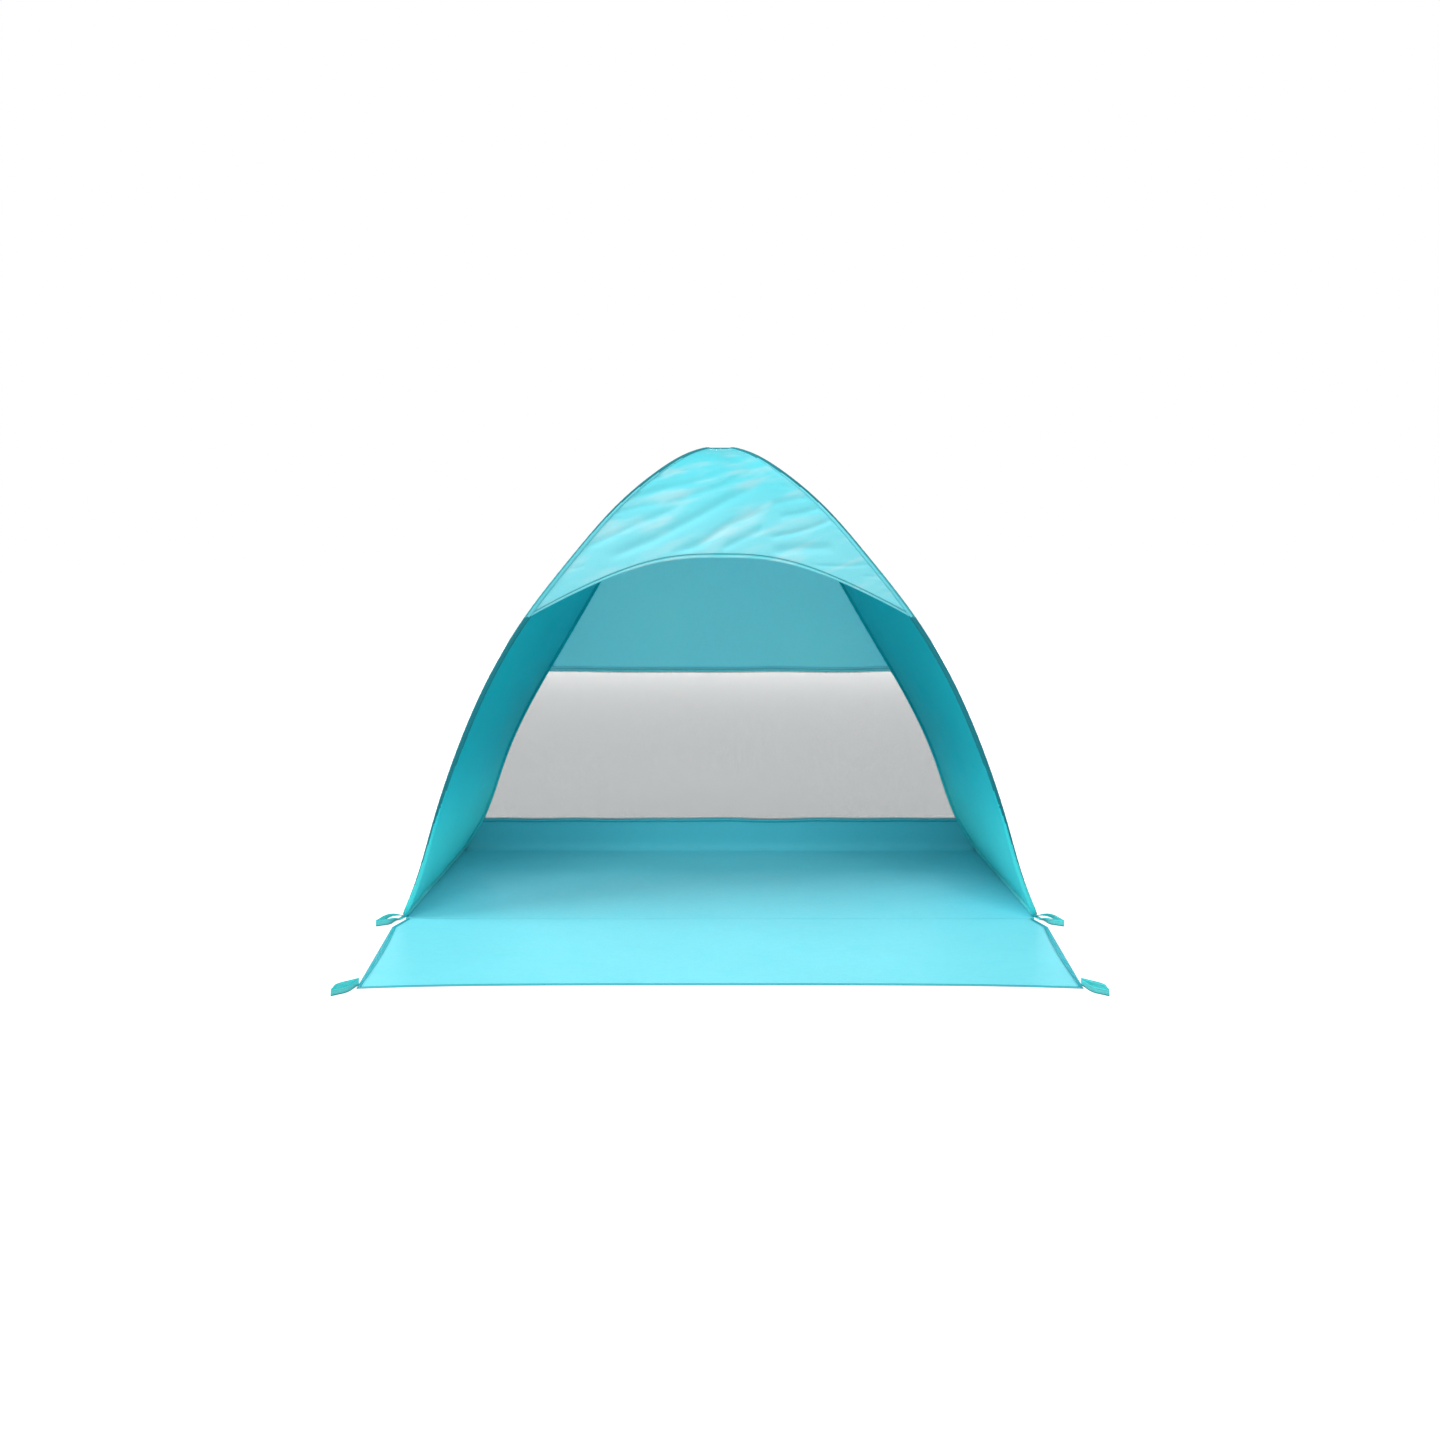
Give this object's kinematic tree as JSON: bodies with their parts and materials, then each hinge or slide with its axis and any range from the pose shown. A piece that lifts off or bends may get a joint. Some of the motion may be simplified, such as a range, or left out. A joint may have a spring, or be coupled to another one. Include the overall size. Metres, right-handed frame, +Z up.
{
  "type": "beach tent",
  "caption": "Open-fronted self-opening beach shelter: two sprung wire hoops in cloth sleeves, arched visor, net window in the back, groundsheet and a front mat with peg loops.",
  "frame": {"origin": "on the ground, under the middle of the groundsheet", "axes": "+Z up, -Y out through the mouth, +X to the right of someone who looks in at the mouth"},
  "size_m": [1.6426, 1.6166, 1.1399],
  "materials": {
    "canopy_cloth": "light coated polyester",
    "floor_cloth": "coated polyester",
    "back_cloth": "light polyester in shade",
    "wall_cloth": "light polyester",
    "trim_tape": "matt woven tape",
    "window_net": "fine knitted net",
    "loop_webbing": "matt webbing",
    "spring_steel": "bare spring wire"
  },
  "bodies": {
    "tent": {"back_panel": "back_cloth", "front_sleeve_left": "trim_tape", "front_sleeve_right": "trim_tape", "ground_sleeve_left": "trim_tape", "ground_sleeve_right": "trim_tape", "groundsheet": "floor_cloth", "hoop_ferrule_left": "spring_steel", "hoop_ferrule_right": "spring_steel", "mesh_window": "window_net", "peak_binding": "trim_tape", "rear_sleeve_left": "trim_tape", "rear_sleeve_right": "trim_tape", "side_wall_left": "wall_cloth", "side_wall_right": "wall_cloth", "spring_hoop_left": "spring_steel", "spring_hoop_right": "spring_steel", "visor": "canopy_cloth", "visor_hem": "canopy_cloth", "window_bottom_tape": "trim_tape", "window_top_tape": "trim_tape"},
    "mat": {"front_mat": "floor_cloth", "mat_hem_left": "trim_tape", "mat_hem_right": "trim_tape", "mat_hem_front": "trim_tape"},
    "foot_loop_left": {"foot_loop_left": "loop_webbing"},
    "foot_loop_right": {"foot_loop_right": "loop_webbing"},
    "mat_loop_left": {"mat_loop_left": "loop_webbing"},
    "mat_loop_right": {"mat_loop_right": "loop_webbing"},
    "rear_loop_left": {"rear_loop_left": "loop_webbing"},
    "rear_loop_right": {"rear_loop_right": "loop_webbing"}
  },
  "joints": [
    {"name": "mat_fold", "type": "hinge", "parent": "tent", "child": "mat", "pos_m": [0, -0.4468, 0.001], "axis": [-1, 0, 0], "range_deg": [0, 85]},
    {"name": "foot_loop_swing_left", "type": "hinge", "parent": "tent", "child": "foot_loop_left", "pos_m": [-0.7593, -0.4443, 0.0075], "axis": [0, 0, 1], "range_deg": [-45, 8]},
    {"name": "foot_loop_swing_right", "type": "hinge", "parent": "tent", "child": "foot_loop_right", "pos_m": [0.7593, -0.4443, 0.0075], "axis": [0, 0, 1], "range_deg": [-8, 45]},
    {"name": "mat_loop_swing_left", "type": "hinge", "parent": "mat", "child": "mat_loop_left", "pos_m": [-0.7549, -1.0648, 0.0075], "axis": [0, 0, 1], "range_deg": [-60, 10]},
    {"name": "mat_loop_swing_right", "type": "hinge", "parent": "mat", "child": "mat_loop_right", "pos_m": [0.7549, -1.0648, 0.0075], "axis": [0, 0, 1], "range_deg": [-10, 60]},
    {"name": "rear_loop_swing_left", "type": "hinge", "parent": "tent", "child": "rear_loop_left", "pos_m": [-0.7486, 0.4037, 0.0075], "axis": [0, 0, 1], "range_deg": [-30, 40]},
    {"name": "rear_loop_swing_right", "type": "hinge", "parent": "tent", "child": "rear_loop_right", "pos_m": [0.7486, 0.4037, 0.0075], "axis": [0, 0, 1], "range_deg": [-40, 30]}
  ]
}
